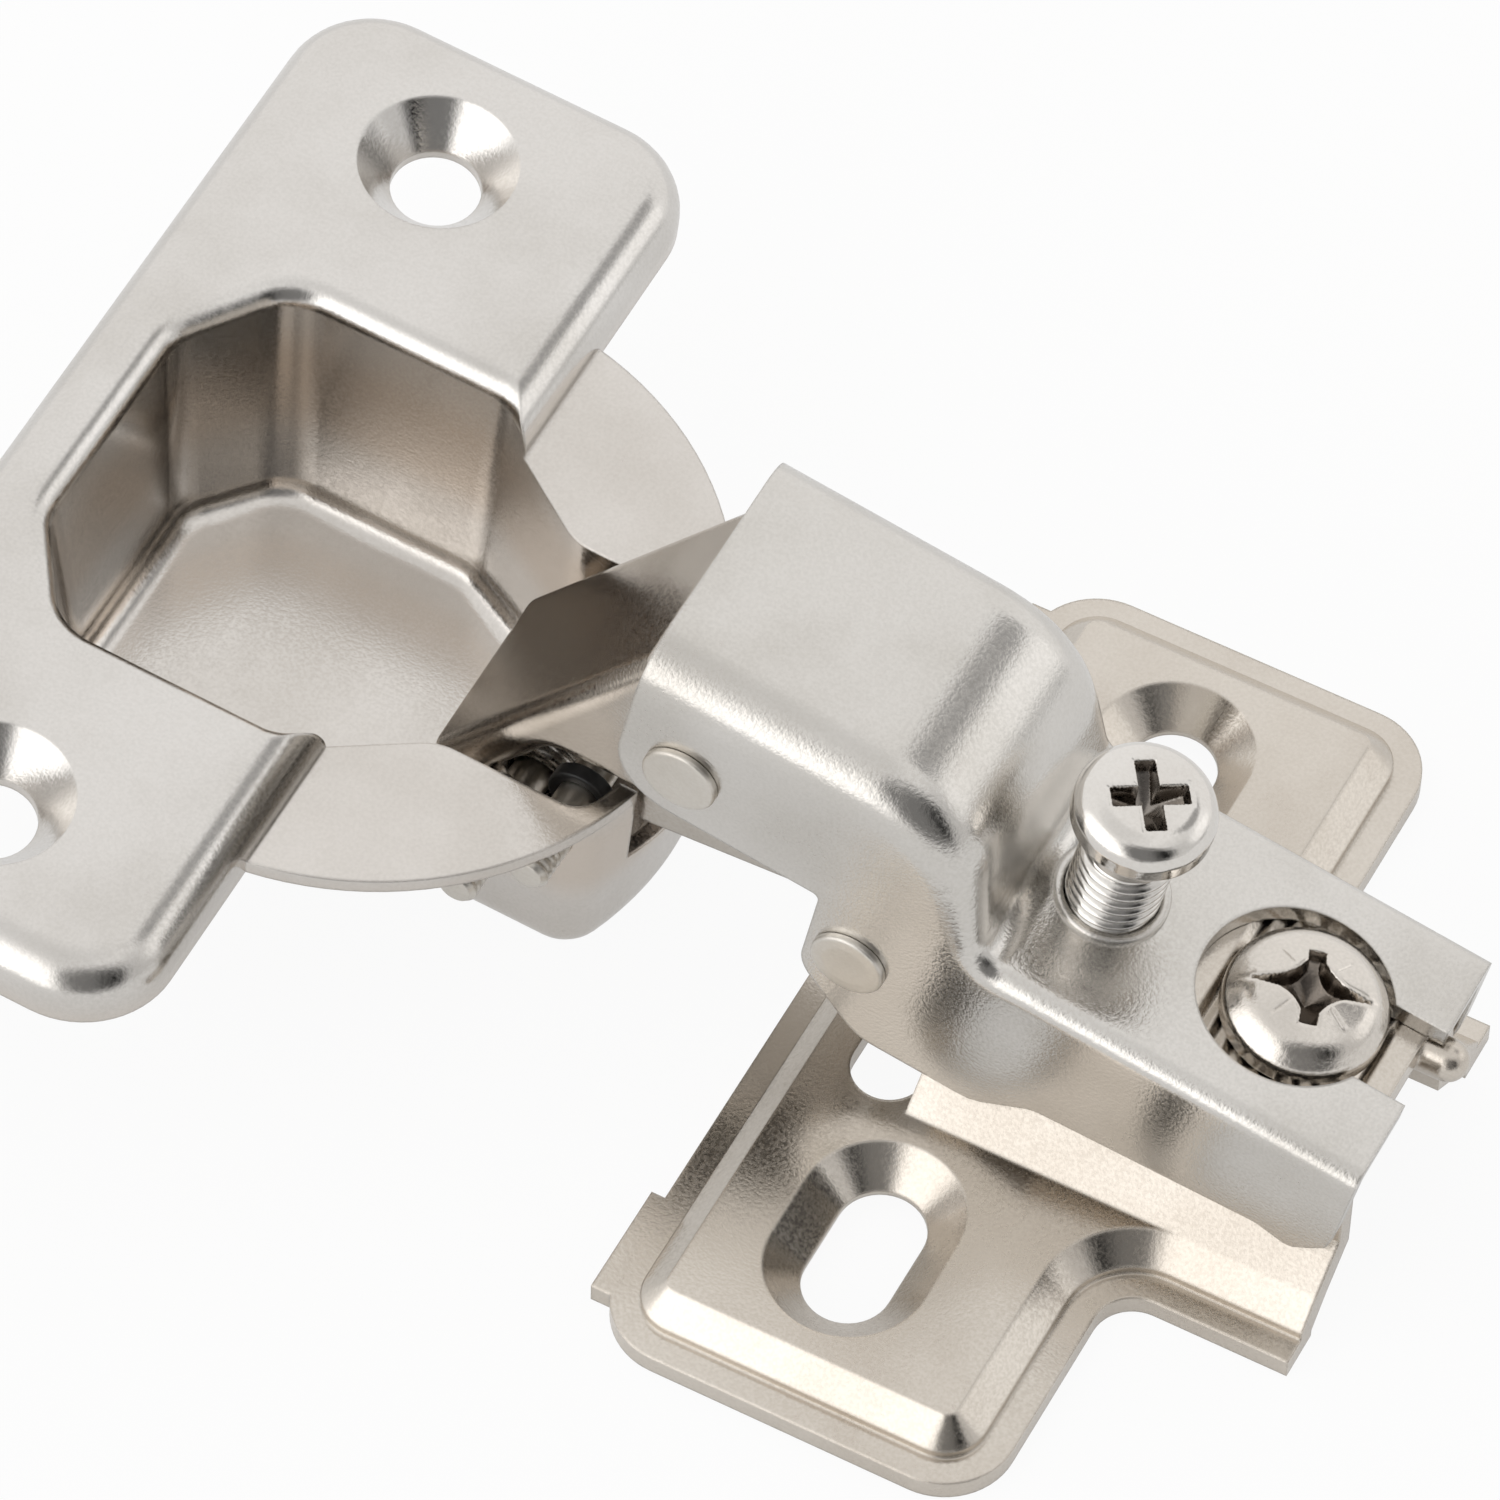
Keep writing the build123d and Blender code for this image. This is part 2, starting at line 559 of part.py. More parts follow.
pieces = {
    "mounting_plate": plate,
    "fixing_screw": fixing,
    "hinge_arm": arm,
    "adjusting_screw": adjusting,
    "front_rivet": front_rivet,
    "rear_rivet": rear_rivet,
    "outer_link": outer_link,
    "inner_link": inner_link,
    "hinge_cup": cup,
    "cup_pin": cup_pin,
    "closing_spring": closing_spring,
    "nylon_washer_near": washers["near"],
    "nylon_washer_far": washers["far"],
}
for name, solid in pieces.items():
    print(name, len(solid.solids()), "solid", round(solid.volume, 1), "mm3")
    export_step(solid, f"parts/{name}.step")
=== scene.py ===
# %% [markdown]
# # A concealed cup hinge, open, lying on its mounting plate
#
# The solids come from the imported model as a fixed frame, in metres: X runs to the rear of the
# arm, Y along the plate's wings, Z away from the cabinet wall. This lesson gives each solid its
# finish, and replaces those whose looks need finer shapes, such as the screws and the spring.

# %% Load the frame
import json

import bmesh
import bpy
import numpy as np
from mathutils import Matrix, Vector

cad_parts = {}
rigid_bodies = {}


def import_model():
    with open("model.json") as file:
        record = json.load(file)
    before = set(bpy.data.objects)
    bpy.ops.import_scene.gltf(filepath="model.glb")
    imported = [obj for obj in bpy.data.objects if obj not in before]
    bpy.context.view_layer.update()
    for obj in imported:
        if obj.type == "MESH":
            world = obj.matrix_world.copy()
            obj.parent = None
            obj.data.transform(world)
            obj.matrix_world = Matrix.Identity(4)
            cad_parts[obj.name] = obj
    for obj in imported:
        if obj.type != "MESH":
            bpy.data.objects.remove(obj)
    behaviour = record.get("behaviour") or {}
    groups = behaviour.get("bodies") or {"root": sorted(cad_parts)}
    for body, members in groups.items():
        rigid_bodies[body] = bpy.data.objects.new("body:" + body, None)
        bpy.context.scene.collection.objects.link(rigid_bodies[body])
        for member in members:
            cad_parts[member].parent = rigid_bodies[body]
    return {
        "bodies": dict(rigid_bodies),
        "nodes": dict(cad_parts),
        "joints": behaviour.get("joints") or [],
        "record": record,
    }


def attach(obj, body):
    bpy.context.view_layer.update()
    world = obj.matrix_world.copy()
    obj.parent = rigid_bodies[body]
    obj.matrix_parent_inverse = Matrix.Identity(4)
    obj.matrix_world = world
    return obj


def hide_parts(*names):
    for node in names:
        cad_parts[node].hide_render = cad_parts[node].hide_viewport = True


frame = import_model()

bpy.context.scene.view_settings.view_transform = "Standard"
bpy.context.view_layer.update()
print("solids in the frame:", ", ".join(sorted(frame["nodes"])))

# %% [markdown]
# ## Where the camera stands
#
# The photograph looks down on the hinge from the front left, from a little over half a metre,
# with a long lens. A camera in Blender looks along its own -Z axis, so the three axes of the
# view are worked out from its turn round the hinge, its height angle and its small tilt.

# %% Camera
MM = 0.001
turn, rise, tilt = np.radians([26.371, 54.132, 1.957])
view_distance = 557.361 * MM
view_centre = np.array([-13.143, 12.570]) * MM
plate_back_height = 3.1 * MM

to_camera = np.array([np.sin(turn) * np.cos(rise), -np.cos(turn) * np.cos(rise), np.sin(rise)])
level_right = np.array([np.cos(turn), np.sin(turn), 0])
level_up = np.cross(to_camera, level_right)
view_right = np.cos(tilt) * level_right + np.sin(tilt) * level_up
view_up = np.cos(tilt) * level_up - np.sin(tilt) * level_right

camera = bpy.data.objects.new("camera", bpy.data.cameras.new("camera"))
bpy.context.scene.collection.objects.link(camera)
bpy.context.scene.camera = camera
eye = view_centre[0] * view_right + view_centre[1] * view_up + view_distance * to_camera
eye[2] += plate_back_height
facing = Matrix(np.column_stack([view_right, view_up, to_camera]).tolist())
camera.matrix_world = Matrix.Translation(Vector(eye)) @ facing.to_4x4()
camera.data.lens = 268.65
camera.data.clip_start = 0.01
print("camera at", np.round(eye / MM, 1), "mm, lens", camera.data.lens, "mm")

# %% [markdown]
# ## Sums with shader sockets
#
# A finish is a graph of nodes. Writing it as sums is easier to read than wiring it by hand, so
# a Reading wraps a socket that carries one number, and each arithmetic sign on it adds a Math
# node. A Finish holds the graph of one material; its add method makes any other node.

# %% Readings and finishes
class Reading:
    """One number over a surface. a + b, a - b and a * b each add a Math node."""

    def __init__(self, finish, socket):
        self.finish, self.socket = finish, socket

    def math(self, operation, *values):
        """Result of a Math node on the given values, in their order."""
        return self.finish.add("ShaderNodeMath", {"operation": operation}, dict(enumerate(values)))

    def __add__(self, other):
        return self.math("ADD", self, other)

    def __sub__(self, other):
        return self.math("SUBTRACT", self, other)

    def __rsub__(self, other):
        return self.math("SUBTRACT", other, self)

    def __mul__(self, other):
        return self.math("MULTIPLY", self, other)

    __radd__ = __add__
    __rmul__ = __mul__

    def between(self, low, high):
        """0 below low, 1 above high, and a smooth step in between."""
        sockets = {"Value": self, "From Min": low, "From Max": high}
        return self.finish.add("ShaderNodeMapRange", {"interpolation_type": "SMOOTHSTEP"}, sockets, "Result")


class Finish:
    """The node graph of a material, or of the world's light."""

    def __init__(self, tree):
        self.tree = tree
        tree.nodes.clear()

    def add(self, kind, settings, sockets, output=0):
        """Adds a node, makes its settings, fills its sockets with values or links, and gives an output."""
        node = self.tree.nodes.new(kind)
        for name, value in settings.items():
            setattr(node, name, value)
        for name, value in sockets.items():
            socket = node.inputs[name] if isinstance(name, int) else self.named(node, name)
            if isinstance(value, Reading):
                self.tree.links.new(value.socket, socket)
            else:
                socket.default_value = value
        return Reading(self, node.outputs[output]) if node.outputs else None

    def named(self, node, name):
        """The socket whose identifier is name, or else the one that is called that."""
        found = [s for s in node.inputs if s.identifier == name]
        return found[0] if found else node.inputs[name]

    def mix(self, share, first, second):
        """The first colour where share is 0 and the second where it is 1."""
        sockets = {"Factor_Float": share, "A_Color": first, "B_Color": second}
        return self.add("ShaderNodeMix", {"data_type": "RGBA"}, sockets, 2)

    def place(self, stretch=(1, 1, 1)):
        """Object coordinates, which are metres, stretched along the axes."""
        where = self.add("ShaderNodeTexCoord", {}, {}, "Object")
        return self.add("ShaderNodeMapping", {}, {"Vector": where, "Scale": stretch})

    def noise(self, where, scale, detail=3.0, roughness=0.55):
        """Soft random pattern from 0 to 1; a scale of 1000 has patches of about a millimetre."""
        sockets = {"Vector": where, "Scale": scale, "Detail": detail, "Roughness": roughness}
        return self.add("ShaderNodeTexNoise", {}, sockets, "Fac")


def new_finish(name):
    """An empty material graph and its material."""
    material = bpy.data.materials.new(name)
    material.use_nodes = True
    return material, Finish(material.node_tree)


# %% [markdown]
# ## Frames of the arm and the cup
#
# The arm is pitched ten degrees and the cup a little over four, as they lie in the photograph. It
# is easier to give their sizes along their own axes, so each has a frame: three axes and an
# origin. The finishes and the pieces that follow are set out in these frames.

# %% Frames
def frame_at(origin, pitch):
    """Axes and origin of a frame pitched nose up about Y, as a 4 x 3 array: x, y, z and origin, in mm."""
    c, s = np.cos(np.radians(pitch)), np.sin(np.radians(pitch))
    return np.array([(c, 0, -s), (0, 1, 0), (s, 0, c), origin])


def across(frame, x, z):
    """Frame of a piece that lies across the hinge at x, z of another frame: its own z is the hinge's Y."""
    return np.array([(1, 0, 0), (0, 0, -1), (0, 1, 0), x * frame[0] + z * frame[2] + frame[3]])


def placed(points, frame):
    """Points of a frame in the hinge's own frame: x times its x axis, and so on, plus its origin."""
    return points @ frame[:3] + frame[3]


arm_frame = frame_at((4.8, 0, 15.87), 10.0)
cup_frame = frame_at((-45.08, 0, 18.26), 4.4)


# %% [markdown]
# ## Satin nickel
#
# Every sheet part is stamped steel under a thin nickel plate. The real plate is bright but not
# a mirror: it is faintly warm, its shine is broken by a grain of about a fifth of a millimetre,
# and broad soft clouds show where the plating took unevenly. The shader is metal, and the
# clouds and the grain go into its colour, its roughness and a shallow bump. A Bevel node under
# the bump rounds the sharp edges of the solids, as stamping does, without changing their shape.

# %% Nickel finish
def nickel(name, colour, dull_colour, roughness, grain=1.0, edge=0.25, cross_shade=0.0, bowl_shade_colour=None):
    """Plated metal: clouds mix the two colours, fine grain varies the roughness and the height, and
    cross_shade is how far painted shade darkens a pressed-in cross. bowl_shade_colour is a browner
    colour painted as shade on a bowl's walls, inside and outside, between the flange and the floor."""
    material, finish = new_finish(name)
    where = finish.place()
    clouds = finish.noise(where, 90.0, 4.0).between(0.35, 0.7)
    specks = finish.noise(where, 5200.0, 2.0).between(0.3, 0.7)
    drawn = finish.noise(finish.place((1.0, 0.12, 1.0)), 2600.0, 2.0)
    shade = finish.mix(clouds * 0.6 + specks * 0.2, (*colour, 1), (*dull_colour, 1))
    # Painted shade: a browner colour on the bowl's walls, inside and outside, from a little under the flange
    # and fading towards the floor.
    if bowl_shade_colour:
        sockets = {0: where, 1: tuple(cup_frame[2])}
        along_axis = finish.add("ShaderNodeVectorMath", {"operation": "DOT_PRODUCT"}, sockets, "Value")
        flange = float(cup_frame[3] @ cup_frame[2])
        below_rim = 1.0 - along_axis.between((flange - 5.0) * MM, (flange - 1.2) * MM)
        above_floor = along_axis.between((flange - 10.4) * MM, (flange - 7.5) * MM) * 0.8 + 0.2
        shade = finish.mix(below_rim * above_floor * 0.9, shade, (*bowl_shade_colour, 1))
    # Painted shade: the pressed-in cross of a screw head is darkened towards a dark brown by its depth.
    if cross_shade:
        pressed = finish.add("ShaderNodeAttribute", {"attribute_name": "pressed"}, {}, "Fac")
        shade = finish.mix(pressed.between(0.1, 0.9) * cross_shade, shade, (0.10, 0.075, 0.055, 1))
    gloss = (clouds - 0.5) * 0.04 + (specks - 0.5) * 0.10 + (drawn - 0.5) * 0.06 + roughness
    height = specks * 0.7 + drawn * 0.3
    rounded = finish.add("ShaderNodeBevel", {"samples": 4}, {"Radius": edge * MM})
    sockets = {"Strength": 0.2 * grain, "Distance": 0.02 * MM, "Height": height, "Normal": rounded}
    normal = finish.add("ShaderNodeBump", {}, sockets)
    sockets = {"Base Color": shade, "Metallic": 1.0, "Roughness": gloss, "Normal": normal}
    shader = finish.add("ShaderNodeBsdfPrincipled", {}, sockets)
    finish.add("ShaderNodeOutputMaterial", {}, {"Surface": shader})
    return material


# The cup's finish paints a browner shade on its bowl's walls.
cup_nickel = nickel("cup satin nickel", (0.72, 0.70, 0.675), (0.58, 0.555, 0.52), 0.20, 0.8,
                    bowl_shade_colour=(0.64, 0.57, 0.50))
arm_nickel = nickel("arm satin nickel", (0.69, 0.67, 0.64), (0.56, 0.535, 0.495), 0.21, 1.6)
plate_nickel = nickel("plate warm nickel", (0.68, 0.635, 0.575), (0.54, 0.485, 0.42), 0.22, 0.9)
# The last number of each screw finish is how far painted shade darkens its pressed cross.
screw_nickel = nickel("screw bright nickel", (0.78, 0.76, 0.73), (0.66, 0.63, 0.59), 0.12, 0.5, 0.1, 0.7)
rivet_steel = nickel("rivet pale nickel", (0.72, 0.69, 0.64), (0.62, 0.58, 0.52), 0.36, 1.0, 0.15)
# The links' darker brown is painted shade of the bowl they sit in.
link_shaded_steel = nickel("link steel with painted shade", (0.60, 0.565, 0.52), (0.46, 0.42, 0.37), 0.20)
satin_nickel = nickel("screw satin nickel", (0.72, 0.68, 0.63), (0.58, 0.54, 0.49), 0.22, 1.2, 0.1, 0.8)
spring_steel = nickel("spring wire", (0.55, 0.53, 0.50), (0.42, 0.40, 0.37), 0.25, 0.6, 0.05)

# %% [markdown]
# ## Black washers
#
# The two washers on the inner pin are moulded nylon, black with a dull shine.

# %% Nylon finish
def moulded_nylon():
    """Near-black plastic with a faint mould grain."""
    material, finish = new_finish("black nylon")
    grain = finish.noise(finish.place(), 4000.0, 2.0)
    shade = finish.mix(grain, (0.012, 0.012, 0.012, 1), (0.03, 0.03, 0.03, 1))
    normal = finish.add("ShaderNodeBump", {}, {"Strength": 0.3, "Distance": 0.02 * MM, "Height": grain})
    sockets = {"Base Color": shade, "Roughness": grain * 0.2 + 0.35, "Normal": normal}
    shader = finish.add("ShaderNodeBsdfPrincipled", {}, sockets)
    finish.add("ShaderNodeOutputMaterial", {}, {"Surface": shader})
    return material


nylon = moulded_nylon()

# %% [markdown]
# ## Surfaces from two parameters
#
# Each new piece is a grid of points: one parameter runs along a line, the other round it. Whole
# arrays of points are worked out at once and handed to the mesh, which needs no modelling by
# hand and keeps every size in view. Three helpers are enough for all round pieces: a line with
# rounded corners, a line turned about an axis, and a tube carried along a line.

# %% Lines and grids
def rounded_line(corners, steps=8):
    """Line through corners (point, radius). At a corner with a radius r the two runs stop short by
    r / tan(half the angle between them), and an arc about the point on their bisector joins them."""
    points = [np.array(point, float) for point, radius in corners]
    line = [points[0][None]]
    for before, here, after, (_, radius) in zip(points, points[1:], points[2:], corners[1:]):
        back, ahead = before - here, after - here
        back, ahead = back / np.linalg.norm(back), ahead / np.linalg.norm(ahead)
        half = np.arccos(np.clip(back @ ahead, -1, 1)) / 2
        if radius == 0 or half > 1.55:
            line.append(here[None])
            continue
        bisector = (back + ahead) / np.linalg.norm(back + ahead)
        centre = here + bisector * radius / np.sin(half)
        inward = -bisector
        along = (ahead - back) / np.linalg.norm(ahead - back)
        turn = np.linspace(half - np.pi / 2, np.pi / 2 - half, steps)[:, None]
        line.append(centre + radius * (np.cos(turn) * inward + np.sin(turn) * along))
    line.append(points[-1][None])
    return np.concatenate(line)


def filled(line, step):
    """The same line with points no further apart than step, spread evenly by length."""
    gaps = np.linalg.norm(np.diff(line, axis=0), axis=1)
    count = np.maximum(np.ceil(gaps / step).astype(int), 1)
    share = np.concatenate([np.arange(n) / n for n in count])[:, None]
    start = np.repeat(line[:-1], count, axis=0)
    run = np.repeat(np.diff(line, axis=0), count, axis=0)
    return np.concatenate([start + share * run, line[-1:]])


def turned(profile, columns):
    """Surface of a profile (r, z) turned about z: x = r cos a, y = r sin a, for angles a round the circle."""
    angle = np.linspace(0, 2 * np.pi, columns, endpoint=False)
    r, z = profile[:, :1], profile[:, 1:]
    return np.stack([r * np.cos(angle), r * np.sin(angle), z + 0 * angle], axis=-1)


def tube(line, radius, side, columns):
    """Tube round a line: the point plus radius times (cos a of the side vector, sin a of its normal in
    the section). side is a vector for each point, made square to the line's direction."""
    ahead = np.gradient(line, axis=0)
    ahead /= np.linalg.norm(ahead, axis=1, keepdims=True)
    side = side - np.sum(side * ahead, axis=1, keepdims=True) * ahead
    side /= np.linalg.norm(side, axis=1, keepdims=True)
    other = np.cross(ahead, side)
    angle = np.linspace(0, 2 * np.pi, columns, endpoint=False)[:, None]
    reach = np.broadcast_to(radius, len(line))[:, None, None]
    return line[:, None] + reach * (np.cos(angle) * side[:, None] + np.sin(angle) * other[:, None])


# %% Grid to mesh
def grid_mesh(name, grid, ring=True, loop=False, ends=False, pressed=None):
    """Mesh of a grid of points in mm. Columns join round a ring, rows join end to start in a loop, and
    ends closes a doubled sheet: its first and last rows get faces from the outside to the inside.
    pressed is a depth for each point, kept in the mesh for the painted shade its finish lays in a pressed
    cross."""
    rows, columns = grid.shape[:2]
    row = np.arange(rows if loop else rows - 1)[:, None]
    column = np.arange(columns if ring else columns - 1)[None]
    next_row, next_column = (row + 1) % rows, (column + 1) % columns
    corners = [row * columns + column, row * columns + next_column,
               next_row * columns + next_column, next_row * columns + column]
    faces = np.stack([c + 0 * column for c in corners], axis=-1).reshape(-1, 4)
    if ends:
        here = np.arange(columns // 2 - 1)
        strip = np.stack([here, here + 1, columns - 2 - here, columns - 1 - here], axis=1)
        faces = np.concatenate([faces, strip, strip + (rows - 1) * columns])
    mesh = bpy.data.meshes.new(name)
    mesh.from_pydata((grid.reshape(-1, 3) * MM).tolist(), [], faces.tolist())
    if pressed is not None:
        depth = mesh.attributes.new("pressed", "FLOAT", "POINT")
        depth.data.foreach_set("value", pressed.ravel().astype(np.float32))
    work = bmesh.new()
    work.from_mesh(mesh)
    bmesh.ops.remove_doubles(work, verts=work.verts, dist=0.002 * MM)
    bmesh.ops.recalc_face_normals(work, faces=work.faces)
    work.to_mesh(mesh)
    work.free()
    return mesh


def grid_piece(name, grid, material, body, nodes, slot, **joins):
    """Piece whose mesh is a grid of points, set on its body in place of the solids it stands for."""
    return finished_piece(name, grid_mesh(name, grid, **joins), material, body, nodes)


def finished_piece(name, mesh, material, body, nodes):
    """Shades a mesh smooth up to its sharp edges and sets it on its body."""
    mesh.shade_smooth()
    mesh.set_sharp_from_angle(angle=np.radians(40))
    mesh.materials.append(material)
    piece = bpy.data.objects.new(name, mesh)
    bpy.context.scene.collection.objects.link(piece)
    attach(piece, body)
    if nodes:
        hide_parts(*nodes)
    print(name, "has", len(mesh.polygons), "faces")
    return piece


# %% [markdown]
# ## The folded arm
#
# The arm is one sheet, cranked down over a soft crest and then folded into a channel. Its top
# follows a line seen from the side, and its long folds are rounder in front than behind. So the
# sheet is a grid: rows run along that line, and columns go up the near wall, round the fold,
# across the top and down the far wall, outside first and then back inside. The walls end on the
# wavy lower outline, which carries the two pivots.

# %% Lines of the arm, seen from the side
arm_sheet, arm_half_width = 1.2, 7.7
crest_radius, foot_radius = 7.2, 1.7
top_corners = [((-24.0, 9.5), 0), ((-6.3, 9.5), crest_radius), ((-3.6, 0.0), foot_radius), ((17.6, 0.0), 0)]
top_line = filled(rounded_line(top_corners, 24), 0.35)
low_line = filled(rounded_line([
    ((-24.0, 2.3), 0), ((-24.0, -1.1), 3.4), ((-12.1, -1.1), 0.4), ((-12.0, -7.3), 2.5), ((-8.0, -10.9), 2.5),
    ((-1.5, -10.9), 2.0), ((1.5, -8.8), 2.0), ((13.8, -7.7), 1.5), ((15.8, -8.2), 1.0), ((17.6, -6.5), 1.0),
    ((17.6, -5.6), 0)], 10), 0.1)


def length_along(line):
    """Distance from the start to each point of a line, added up run by run."""
    return np.concatenate([[0], np.cumsum(np.linalg.norm(np.diff(line, axis=0), axis=1))])


def length_at(line, places):
    """Distance along a line of the points nearest to the given places."""
    apart = np.linalg.norm(line[None] - np.array(places, float)[:, None], axis=2)
    return length_along(line)[apart.argmin(axis=1)]


# %% Rows and columns of the sheet
ahead = np.gradient(top_line, axis=0)
ahead /= np.linalg.norm(ahead, axis=1, keepdims=True)
upward = np.stack([-ahead[:, 1], ahead[:, 0]], axis=1)
run = length_along(top_line)
top_marks = length_at(top_line, [(-24, 9.5), (-20.5, 9.5), (-10.5, 9.4), (-5.0, 4.8), (-3.6, 0.2), (-0.5, 0),
                                 (2.5, 0), (13.8, 0), (16.6, 0), (17.6, 0)])
low_marks = length_at(low_line, [(-24, 2.3), (-21, -1.1), (-12.2, -1.2), (-11.8, -7.5), (-7, -10.9),
                                 (-1.0, -10.6), (2.0, -8.75), (13.8, -7.8), (16.0, -8.0), (17.6, -5.6)])
low_run = np.interp(run, top_marks, low_marks)
low_points = np.stack([np.interp(low_run, length_along(low_line), low_line[:, i]) for i in (0, 1)], axis=1)
fold = np.interp(run, top_marks[[0, 2, 3, 4, 5]], [2.9, 2.9, 2.4, 1.3, 1.1])


def channel_half(offset, corner, width, columns=9):
    """Half a section, from the top's middle to the wall's foot: the top lies offset under the line, the
    fold is an arc of radius corner, and the wall stands at width. x, y and z for each row and column."""
    corner = corner[:, None]
    bend = np.linspace(0, np.pi / 2, columns)[None]
    flat = np.linspace(0, 1, 8)[None, :-1] * (width - corner)
    across_top = np.concatenate([flat, width - corner + corner * np.sin(bend)], axis=1)
    under = np.concatenate([0 * flat, corner * (1 - np.cos(bend))], axis=1) + offset
    section = top_line[:, None] - under[..., None] * upward[:, None]
    share = np.linspace(0, 1, 7)[None, 1:, None]
    wall = section[:, -1:] + share * (low_points[:, None] - section[:, -1:])
    side_view = np.concatenate([section, wall], axis=1)
    sideways = np.concatenate([across_top, np.full(wall.shape[:2], width)], axis=1)
    return np.stack([side_view[..., 0], sideways, side_view[..., 1]], axis=-1)


def whole(half):
    """Both halves of a section: the near one from its foot to the middle, then the far one back down."""
    return np.concatenate([half[:, :0:-1] * (1, -1, 1), half], axis=1)


outside = whole(channel_half(0.0, fold, arm_half_width))
inside = whole(channel_half(arm_sheet, np.maximum(fold - arm_sheet, 0.2), arm_half_width - arm_sheet))
sheet = np.concatenate([outside, inside[:, ::-1]], axis=1)
print("the arm's sheet has", sheet.shape[0], "rows of", sheet.shape[1], "points")


# %% Cutting holes
def post(outline, middle, depth=3.0):
    """Closed cutter from depth below the top to depth above it: two rings, closed at a point each end."""
    rings = [np.column_stack([outline * k + (1 - k) * middle, np.full(len(outline), z)])
             for k, z in ((0.0, -depth), (1.0, -depth), (1.0, depth), (0.0, depth))]
    return np.stack(rings)


def round_post(x, radius):
    """Cutter for a round hole on the middle line: x + r cos a and r sin a."""
    angle = np.linspace(0, 2 * np.pi, 96, endpoint=False)
    outline = np.stack([x + radius * np.cos(angle), radius * np.sin(angle)], axis=1)
    return post(outline, np.array([x, 0.0]))


def square_post(x_low, x_high, half_width):
    """Cutter for a straight slot along the middle line."""
    near, far = -half_width, half_width
    outline = np.array([(x_low, near), (x_high, near), (x_high, far), (x_low, far)])
    return post(outline, outline.mean(axis=0))


def cut(piece, rings):
    """Takes closed cutters out of a piece for good, and lets broad faces rule the shading."""
    for points in rings:
        cutter = bpy.data.objects.new("cutter", grid_mesh("cutter", points))
        bpy.context.scene.collection.objects.link(cutter)
        difference = piece.modifiers.new("cut", "BOOLEAN")
        difference.object, difference.solver = cutter, "EXACT"
        flatten = piece.modifiers.new("broad faces", "WEIGHTED_NORMAL")
        flatten.keep_sharp = True
        bpy.context.view_layer.update()
        graph = bpy.context.evaluated_depsgraph_get()
        result = bpy.data.meshes.new_from_object(piece.evaluated_get(graph))
        piece.modifiers.clear()
        piece.data = result
        bpy.data.objects.remove(cutter)
    print(piece.name, "was cut", len(rings), "times and has", len(piece.data.polygons), "faces")


# %% Arm
collar_hole, recess_x, recess_radius, slot_half_width = 2.75, 10.3, 5.0, 2.4
hinge_arm = grid_piece("hinge_arm_folded", placed(sheet, arm_frame), arm_nickel,
                       "arm", ["hinge_arm"], "arm_nickel", ends=True)
holes = [round_post(0.0, collar_hole), round_post(recess_x, recess_radius),
         square_post(12.0, 19.0, slot_half_width)]
cut(hinge_arm, [placed(rings, arm_frame) for rings in holes])

# %% Collar
profile = rounded_line([((2.45, 0.2), 0), ((2.5, 0.35), 0.1), ((2.95, 0.35), 0.15), ((3.0, -2.1), 0.2),
                        ((2.45, -2.1), 0.1), ((2.45, 0.2), 0)])[:-1]
grid_piece("screw_collar_drawn", placed(turned(filled(profile, 0.1), 96), arm_frame), arm_nickel,
           "arm", [], "arm_nickel", loop=True)

# %% [markdown]
# ## The two screws
#
# Both screws are turned and rolled: a head with rounded shoulders, a neck, and a thread. The
# thread is a ridge that climbs as it goes round, so the radius of the turned surface depends on
# height and angle together. The cross in the head is pressed in, so the top of the surface is
# lowered inside the outline of a cross.

# %% Thread and cross
def threaded(grid, low, high, pitch, root, crest):
    """Between heights low and high the radius is root + (crest - root) * wave, where the wave is a cosine
    of height / pitch - angle / full turn, so that one turn climbs by one pitch."""
    x, y, z = np.moveaxis(grid, -1, 0)
    radius, angle = np.hypot(x, y), np.arctan2(y, x)
    wave = 0.5 + 0.5 * np.cos(2 * np.pi * z / pitch - angle)
    ends = np.clip((z - low) / pitch, 0, 1) * np.clip((high - z) / pitch, 0, 1)
    wanted = root + (crest - root) * wave ** 0.7 * ends
    inside = (z > low) & (z < high) & (radius > 0.5 * root)
    scale = np.where(inside, wanted / np.maximum(radius, 1e-6), 1.0)
    return np.stack([x * scale, y * scale, z], axis=-1)


def step_in(distance, width):
    """1 well inside an outline, 0 well outside, smooth across the width; distance is negative inside."""
    t = np.clip(0.5 - distance / width, 0, 1)
    return t * t * (3 - 2 * t)


def turned_flat(grid, turn):
    """Distances from the two middle lines of a cross on a screw's top, turned about the screw's axis."""
    c, s = np.cos(np.radians(turn)), np.sin(np.radians(turn))
    return abs(c * grid[..., 0] + s * grid[..., 1]), abs(c * grid[..., 1] - s * grid[..., 0])


def bars(grid, turn, reach, half_width):
    """Distance to the outline of a cross of two bars, negative inside: the nearer of the two rectangles."""
    u, v = turned_flat(grid, turn)
    return np.minimum(np.maximum(u - reach, v - half_width), np.maximum(v - reach, u - half_width))


def star(grid, turn, point_reach, point_half, bar_reach, bar_half):
    """Distance to the outline of a cross with two pointed arms, that narrow evenly to their tips, two
    straight arms, and hollow sides between them, where the root of u plus the root of v is constant."""
    u, v = turned_flat(grid, turn)
    pointed = v - point_half * np.clip(1 - u / point_reach, -1, 1)
    straight = np.maximum(v - bar_reach, u - bar_half)
    hollow = np.maximum(0.4 * (np.sqrt(u) + np.sqrt(v)) ** 2 - 1.4, v - bar_reach)
    return np.minimum(np.minimum(pointed, straight), hollow)


